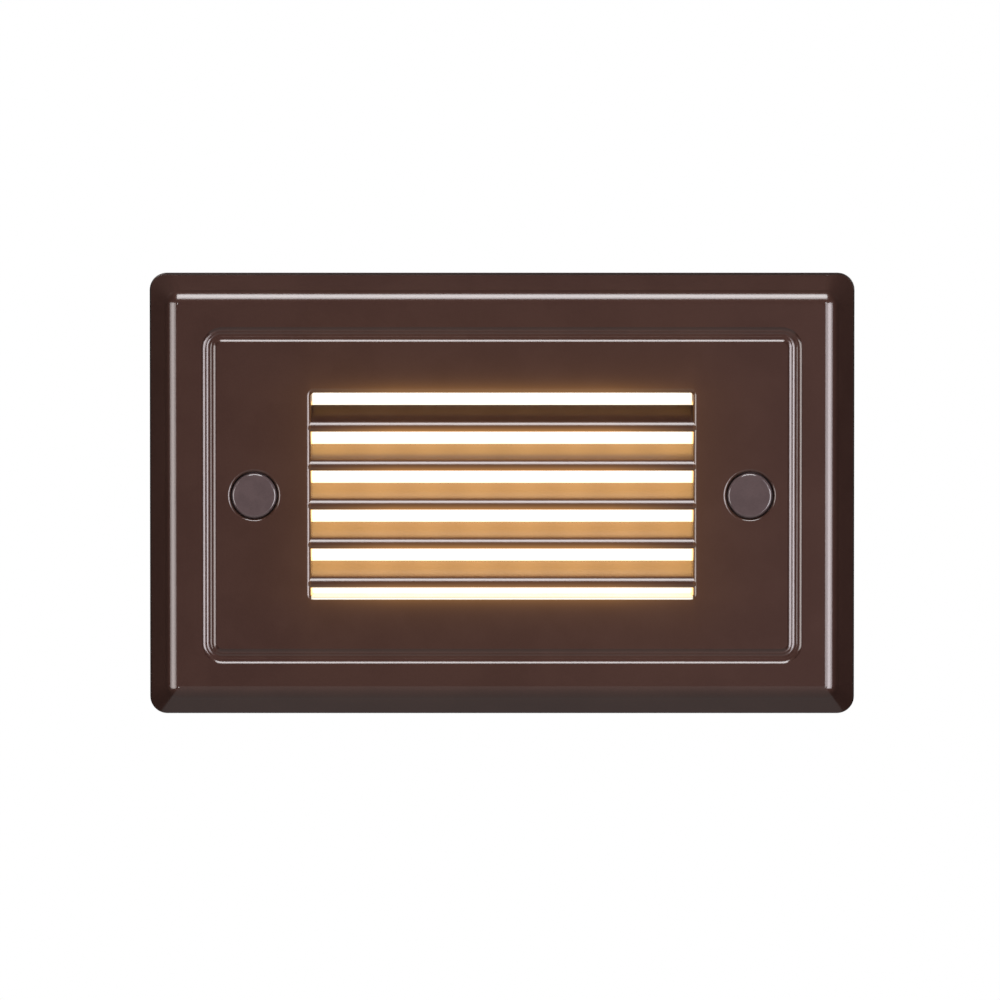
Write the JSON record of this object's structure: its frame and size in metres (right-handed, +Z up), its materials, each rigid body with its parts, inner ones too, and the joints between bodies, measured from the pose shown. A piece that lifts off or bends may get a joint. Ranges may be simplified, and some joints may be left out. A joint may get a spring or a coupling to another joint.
{
  "type": "step light",
  "caption": "Recessed outdoor step light: a bronze bevelled faceplate with cast louvres over an opal lens, capped mounting screws and a rear housing for a single-gang wall box.",
  "frame": {"origin": "on the wall's surface, midway between the two mounting screws", "axes": "-Y out of the wall, the way the light looks; +Z up; +X to the right as seen from in front"},
  "size_m": [0.1186, 0.0406, 0.0744],
  "materials": {
    "bronze_coat": "satin powder coat, dark bronze brown",
    "cap_rubber": "matt moulded rubber, greyish brown",
    "zinc_steel": "bright zinc plated",
    "foam_rubber": "closed-cell foam, matt black",
    "silicone": "translucent grey silicone",
    "opal_lens": "opal, lit warm white from behind",
    "white_plastic": "white moulded, semi-gloss",
    "white_board": "white solder mask",
    "led_phosphor": "yellow phosphor, glows warm white",
    "pad_silicone": "soft blue-grey filled silicone",
    "aluminium_sheet": "rolled sheet, satin",
    "housing_casting": "thin powder coat over die casting",
    "black_rubber": "moulded black rubber",
    "green_steel": "green passivated, for earth",
    "tray_plastic": "natural white flame-retardant plastic",
    "green_board": "green solder mask on glass fibre",
    "terminal_plastic": "green moulded terminal body",
    "fuse_body": "matt cement coating",
    "film_box": "yellow plastic case",
    "varistor_blue": "blue epoxy dip",
    "black_epoxy": "matt black moulding compound",
    "can_sleeve": "shrink sleeve over aluminium can",
    "ferrite": "dark grey ferrite",
    "winding_tape": "yellow winding tape over copper",
    "pin_brass": "tinned brass pin"
  },
  "bodies": {
    "fixture": {"board_screws": "zinc_steel", "bridge_rectifier": "black_epoxy", "bulk_capacitor": "can_sleeve", "cable_grommet": "black_rubber", "diffuser_lens": "opal_lens", "driver_board": "green_board", "driver_chip": "black_epoxy", "faceplate": "bronze_coat", "film_capacitor": "film_box", "fuse": "fuse_body", "ground_screw": "green_steel", "heat_spreader": "aluminium_sheet", "housing_screws": "zinc_steel", "housing_seal": "silicone", "insulator_tray": "tray_plastic", "led_board": "white_board", "led_chips": "led_phosphor", "lens_gasket": "silicone", "link_header": "black_epoxy", "link_pins": "pin_brass", "output_capacitor": "can_sleeve", "rear_housing": "housing_casting", "reflector_frame": "white_plastic", "terminal_block": "terminal_plastic", "thermal_pad": "pad_silicone", "transformer_core": "ferrite", "transformer_winding": "winding_tape", "varistor": "varistor_blue", "wall_gasket": "foam_rubber"},
    "cap_left": {"screw_cap_left": "cap_rubber"},
    "cap_right": {"screw_cap_right": "cap_rubber"},
    "screw_left": {"mounting_screw_left": "zinc_steel"},
    "screw_right": {"mounting_screw_right": "zinc_steel"}
  },
  "joints": [
    {"name": "cap_left_pull", "type": "slide", "parent": "fixture", "child": "cap_left", "axis": [0, -1, 0], "range_m": [0, 0.012]},
    {"name": "screw_left_turn", "type": "hinge", "parent": "fixture", "child": "screw_left", "pos_m": [-0.04167, -0.0046, 0], "axis": [0, -1, 0], "continuous": true},
    {"name": "cap_right_pull", "type": "slide", "parent": "fixture", "child": "cap_right", "axis": [0, -1, 0], "range_m": [0, 0.012]},
    {"name": "screw_right_turn", "type": "hinge", "parent": "fixture", "child": "screw_right", "pos_m": [0.04167, -0.0046, 0], "axis": [0, -1, 0], "continuous": true}
  ]
}
